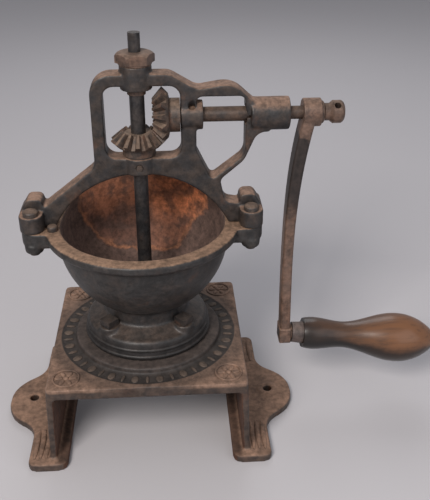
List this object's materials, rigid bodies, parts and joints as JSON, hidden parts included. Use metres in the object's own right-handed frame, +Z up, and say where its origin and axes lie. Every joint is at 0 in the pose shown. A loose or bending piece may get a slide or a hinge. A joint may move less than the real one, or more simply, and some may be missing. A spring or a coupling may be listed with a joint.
{
  "type": "hand crank coffee grinder",
  "caption": "Cast-iron counter coffee mill: open hopper bowl on a footed base, arched frame with bevel gears, side crank with turned wooden grip.",
  "frame": {"origin": "on the counter, midway between the two screw holes of the base", "axes": "+Z up, +X from the mill out to the crank, +Y from front to back"},
  "size_m": [0.406, 0.18, 0.3553],
  "materials": {
    "cast_iron": "rusty cast, matt",
    "rusty_hardware": "rusted",
    "dark_steel": "dark worn",
    "bush_brass": "dull",
    "gear_iron": "worn rusty teeth",
    "crank_iron": "worn, rusty",
    "ferrule_steel": "dull",
    "turned_wood": "old varnish, glossy"
  },
  "bodies": {
    "root": {"base_table": "cast_iron", "hopper_bowl": "cast_iron", "collar_bolts": "rusty_hardware", "collar_nuts": "rusty_hardware", "arch_frame": "cast_iron", "frame_bolts": "rusty_hardware", "rim_peg": "rusty_hardware", "lower_bush": "bush_brass", "bush_pin": "rusty_hardware", "inner_bush": "bush_brass", "outer_bush": "bush_brass", "grinding_ring": "gear_iron", "ring_screws": "rusty_hardware"},
    "spindle": {"upright_spindle": "dark_steel", "driven_gear": "gear_iron", "driven_gear_pin": "rusty_hardware", "thrust_washer": "rusty_hardware", "grinding_cone": "gear_iron", "cone_washer": "rusty_hardware", "cone_nut": "rusty_hardware"},
    "adjuster": {"adjusting_nut": "crank_iron"},
    "crank": {"crank_shaft": "dark_steel", "driving_gear": "gear_iron", "driving_gear_pin": "rusty_hardware", "crank_arm": "crank_iron", "crank_nut": "crank_iron", "handle_rod": "dark_steel", "handle_washer": "rusty_hardware"},
    "grip": {"wooden_grip": "turned_wood", "grip_ferrule": "ferrule_steel"}
  },
  "joints": [
    {"name": "crank_turn", "type": "hinge", "parent": "root", "child": "crank", "pos_m": [0, 0, 0.2898], "axis": [1, 0, 0], "continuous": true},
    {"name": "spindle_spin", "type": "hinge", "parent": "root", "child": "spindle", "pos_m": [0, 0, 0.2898], "axis": [0, 0, 1], "continuous": true},
    {"name": "grip_spin", "type": "hinge", "parent": "crank", "child": "grip", "pos_m": [0.1267, 0, 0.0758], "axis": [0.9945, 0, -0.1045], "continuous": true},
    {"name": "grind_adjust", "type": "hinge", "parent": "root", "child": "adjuster", "pos_m": [0, 0, 0.32], "axis": [0, 0, 1], "range_deg": [-180, 180]}
  ],
  "couplings": [
    {"joint": "spindle_spin", "follows": "crank_turn", "ratio": 1}
  ]
}
